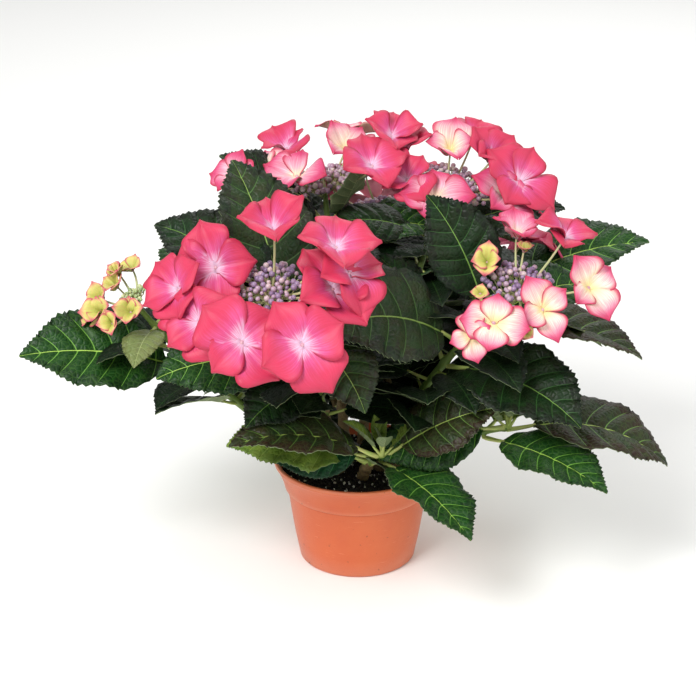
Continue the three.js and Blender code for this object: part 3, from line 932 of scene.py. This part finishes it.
# A sepal of length 1 along +Y, a thin closed shell. Slot 0 is its face, slot 1 its back.
def sepalTemplate():
    bm = bmesh.new()
    along = bm.verts.layers.float.new("along")
    across = bm.verts.layers.float.new("across")
    bmesh.ops.create_grid(bm, x_segments=sepal["columns"], y_segments=sepal["rows"], size=0.5)
    for v in bm.verts:
        u, s = v.co.x * 2, 1 - max(0, 0.5 - v.co.y) ** sepal["tipRows"]
        reach = sepal["width"] * max(0, sin(pi * s ** sepal["shoulder"])) ** sepal["full"]
        reach *= 1 - sepal["point"] * rise01((s - sepal["pointFrom"]) / (1 - sepal["pointFrom"]))
        reach = max(reach, sepal["claw"] if s < 0.5 else 0.01)
        v[along], v[across] = s, u
        bow = 0.1 * s * (1 - u * u) * sin(pi * min(1, s))
        z = sepal["cup"] * (u * reach) ** 2 + 0.04 * sin(pi * s) - 0.06 * abs(u) ** 3
        z += sepal["crease"] * min(1, abs(u) * 4) * reach * 0.5
        z += 0.02 * noise.noise(Vector((u * 2.1, s * 3.4, 4.2)))
        # shallow channels fan out with the veins
        z -= 0.006 * cos(u * 14) * sin(pi * s)
        v.co = Vector((u * reach, s + 0.3 * bow, z))
    bmesh.ops.solidify(bm, geom=bm.faces[:], thickness=sepal["thick"])
    bmesh.ops.recalc_face_normals(bm, faces=bm.faces)
    # a flat map of both sides, one beside the other
    places = bm.loops.layers.uv.new("OFBake")
    for face in bm.faces:
        face.material_index = 1 if face.normal.z < -0.3 else 0
        middle = 0.75 if face.material_index else 0.25
        rim = abs(face.normal.z) <= 0.3
        for corner in face.loops:
            proud = 0.02 if rim and corner.vert.normal.z < 0 else 0
            s, u = corner.vert[along], corner.vert[across]
            corner[places].uv = (middle + (0.21 + proud) * u, 0.02 + (0.93 + proud) * s)
    return keepMesh("sepalShape", bm)


def petalMaterials():
    materials = []
    soft = {"Subsurface Weight": 0.12, "Subsurface Radius": (0.003, 0.001, 0.001)}
    for kind, (heart, middle, body, edge, spread, back) in petals.items():
        face = newMaterial(f"{kind}Petal", body, 0.5, {"Specular IOR Level": 0.35, **soft})
        values = {"Heart": colourOf(heart), "Middle": colourOf(middle), "Body": colourOf(body)}
        values.update({"Edge": colourOf(edge), "Spread": spread})
        colours = addNode(face.node_tree, "Group", values, node_tree=petalColours)
        feed(face.node_tree, shaderOf(face), {"Base Color": colours["Color"]})
        addBump(face, colours["Veins"], 0.35, 0.0008)
        materials += [face, mottled(f"{kind}Back", back, body, 0.6, 110, 0.35)]
    return materials


# Four sepals round an eye, every other one lower and bigger.
def layFloret(bm, template, spot, facing, radius, kind, cup, spin, chance):
    turn = up.rotation_difference(facing)
    first = 2 * list(petals).index(kind)
    for number in range(4):
        raised = number % 2
        size = radius * chance.uniform(0.94, 1.12) * sepal["small" if raised else "big"]
        width = chance.uniform(0.86, 1.16) * (1 if kind == "rose" else 0.9)
        around = radians(spin + 90 * number + chance.uniform(-14, 14))
        tilt = radians(cup + chance.uniform(-9, 9) + (6 if raised else 0))
        swing = Quaternion((0, 0, 1), around) @ Quaternion((1, 0, 0), tilt)
        bend = chance.uniform(-0.2, 0.12)
        ripple = chance.uniform(0, 6)
        crease = chance.uniform(0, 0.3)
        verts, faces = stamp(bm, template)
        for v in verts:
            x, y, z = v.co
            z += bend * y * y + 0.1 * sin(ripple + 8 * y + 5 * x) * abs(x) + crease * abs(x)
            local = swing @ (Vector((x * width, y, z)) * size)
            local.z += raised * 0.9 * mm
            v.co = spot + turn @ local
        for face in faces:
            face.material_index += first


# Moves every sepal's flat map into a cell of its own.
def spreadMaps(bm, facesEach):
    places = bm.loops.layers.uv["OFBake"]
    wide = ceil(sqrt(len(bm.faces) / facesEach))
    for number, face in enumerate(bm.faces):
        cell = number // facesEach
        low = Vector((cell % wide, cell // wide))
        for corner in face.loops:
            corner[places].uv = (low + corner[places].uv) / wide


dome = {"above": 8.6, "radius": 29, "rise": 7, "buds": 135, "budSizes": (1.6, 2.5), "seed": 77, "rays": 9}
floret = {"tiltBase": 12, "tiltPerOut": 0.45, "stalk": 0.85, "stalkSides": 6, "stalkSteps": 8, "eye": 1.9}
goldenAngle = 137.508
budLooks = {
    "lilac": ("9a7f9e", "b898ab", "cfb3b6", "83698b"),
    "mauve": ("b48fa6", "c7a5b4", "d3bdb9", "a88a9c"),
    "green": ("9fae76", "b3bd84", "c8c996", "8c9c6c"),
}


def budTemplate():
    bm = bmesh.new()
    bmesh.ops.create_uvsphere(bm, u_segments=7, v_segments=5, radius=1)
    for v in bm.verts:
        v.co.z *= 0.92 if v.co.z > 0 else 1.15
    return keepMesh("budShape", bm)


# Stamps a small ball with this material slot, its points moved by place(point).
def layBall(bm, template, slot, place):
    verts, faces = stamp(bm, template)
    for v in verts:
        v.co = place(v.co)
    for face in faces:
        face.material_index = slot


# The stalk of a floret, from inside the dome to the floret's back.
def layStalk(bm, root, mid, behind, end):
    steps = floret["stalkSteps"]
    run, radii = [], []
    for step in range(steps + 1):
        t = step / steps
        first = root * (1 - t) ** 3 + mid * 3 * t * (1 - t) ** 2
        run.append(first + behind * 3 * t * t * (1 - t) + end * t ** 3)
        radii.append(floret["stalk"] * mm * lerp(1.25, 0.8, t))
    tube(bm, run, radii, floret["stalkSides"])


# Small buds in a spiral over the dome, each on a thin stalk, and the rays that carry them.
def layDome(buds, stalks, ball, head, world, turn, chance):
    size = head["size"]
    count = int(dome["buds"] * size ** 1.2)
    firstTone = 1 + 4 * list(budLooks).index(head["bud"])
    for number in range(count):
        far = sqrt((number + 0.5) / count)
        angle = number * goldenAngle + chance.uniform(-14, 14)
        reach = far * dome["radius"] * size + chance.uniform(-1.1, 1.1)
        level = dome["rise"] * (0.5 + 0.5 * size) * (1 - far * far) + chance.uniform(-2.2, 1.4)
        spot = world((heading(angle) * reach + up * level) * mm)
        radius = chance.uniform(*dome["budSizes"]) * mm * (0.75 if size < 0.6 else 1)
        root = heading(angle + chance.uniform(-20, 20)) * reach * 0.72 + up * (level - 8 * size)
        root = world(root * mm)
        lean = up.rotation_difference((spot - root).normalized())
        tone = firstTone + chance.choice((0, 0, 1, 1, 2, 3))
        layBall(buds, ball, tone, lambda point: spot + lean @ (point * radius))
        points = [root, root.lerp(spot, 0.6) - turn @ up * 0.3 * mm, spot]
        tube(stalks, points, [0.45 * mm, 0.4 * mm, 0.5 * mm], 4)
    for ray in range(dome["rays"]):
        angle = ray * 360 / dome["rays"] + chance.uniform(-12, 12)
        tip = heading(angle) * (dome["radius"] * 0.66 * size) - up * 1.5 * size
        knee = tip * 0.35 - up * 6.5 * size
        points = [world(-up * (dome["above"] + 1) * mm), world(knee * mm), world(tip * mm)]
        tube(stalks, points, [1.7 * mm * size, 1.3 * mm * size, 0.8 * mm * size], 6)


def makeHeads():
    template = sepalTemplate()
    petalLooks = petalMaterials()
    ball = budTemplate()
    stalkLook = mottled("flowerStalk", "b9c48a", "c9b38c", 0.5, 160)
    ballLooks = [mottled("floretEye", "b77f96", "d8b9b4", 0.5, 900)]
    for kind, tones in budLooks.items():
        for i, tone in enumerate(tones):
            name = f"bud{kind.capitalize()}{i}"
            ballLooks.append(newMaterial(name, tone, 0.32, {"Subsurface Weight": 0.1}))
    buds, stalks = bmesh.new(), bmesh.new()
    for place, head in heads.items():
        towards, lean = head["lean"]
        axis = heading(towards) * sin(radians(lean)) + up * cos(radians(lean))
        turn = up.rotation_difference(axis)
        centre = lines[place][2] + axis * (dome["above"] * mm)
        chance = random.Random(dome["seed"] + len(place) * 3 + ord(place[0]))
        sepals = bmesh.new()

        def world(local):
            return centre + turn @ local

        for around, out, lift, radius, kind, toViewer, cup, *spins in head["florets"]:
            spin = spins[0] if spins else chance.uniform(0, 90)
            outward = heading(around)
            tilt = radians(floret["tiltBase"] + floret["tiltPerOut"] * max(0, out - lift))
            facing = turn @ (up * cos(tilt) + outward * sin(tilt))
            facing = (facing * (1 - abs(toViewer)) + towardsViewer * toViewer).normalized()
            spot = world((outward * out + up * lift) * mm)
            layFloret(sepals, template, spot, facing, radius * mm, kind, cup, spin, chance)
            eye = floret["eye"] * mm * (0.75 if radius < 18 else 1)
            layBall(buds, ball, 0, lambda point: spot + facing * 0.6 * mm + point * eye)
            root = world((outward * min(0.25 * out, 8) - up * 5 * head["size"]) * mm)
            mid = world((outward * 0.62 * out + up * (0.35 * lift - 5)) * mm)
            layStalk(stalks, root, mid, spot - facing * 6 * mm, spot - facing * 0.2 * mm)
        spreadMaps(sepals, len(template.polygons))
        settle(meshObject("sepals_" + place, sepals, petalLooks), "flower", f"flowers_{place}")
        layDome(buds, stalks, ball, head, world, turn, chance)
    bmesh.ops.recalc_face_normals(stalks, faces=stalks.faces)
    settle(meshObject("flowerBuds", buds, ballLooks), "flower")
    settle(meshObject("flowerStalks", stalks, [stalkLook]), "flower")


makeHeads()
print("flower heads made")

# floor and light

studio = {
    "floor": 12.0, "floorColour": "f4f4f2", "sky": 0.62,
    "lamps": [
        {"name": "keyLight", "from": (-0.9, -1.3, 1.7), "size": 0.9, "power": 46},
        {"name": "fillLight", "from": (1.5, -0.9, 1.1), "size": 1.4, "power": 12},
        {"name": "backLight", "from": (0.4, 1.6, 1.6), "size": 1.4, "power": 14},
    ],
}


def makeStudio():
    bm = bmesh.new()
    bmesh.ops.create_grid(bm, x_segments=1, y_segments=1, size=studio["floor"] / 2)
    ground = meshObject("floor", bm, [newMaterial("floorPaint", studio["floorColour"], 0.9)])
    world = bpy.data.worlds.new("studio")
    world.use_nodes = True
    background = world.node_tree.nodes["Background"]
    feed(world.node_tree, background, {"Color": (1, 1, 1, 1), "Strength": studio["sky"]})
    scene.world = world
    for lamp in studio["lamps"]:
        data = bpy.data.lights.new(lamp["name"], "AREA")
        data.size = lamp["size"]
        data.energy = lamp["power"]
        place = bpy.data.objects.new(lamp["name"], data)
        place.location = lamp["from"]
        aim = Vector((0, 0, 0.15)) - place.location
        place.rotation_euler = aim.to_track_quat("-Z", "Y").to_euler()
        scene.collection.objects.link(place)


makeStudio()
print("studio made")
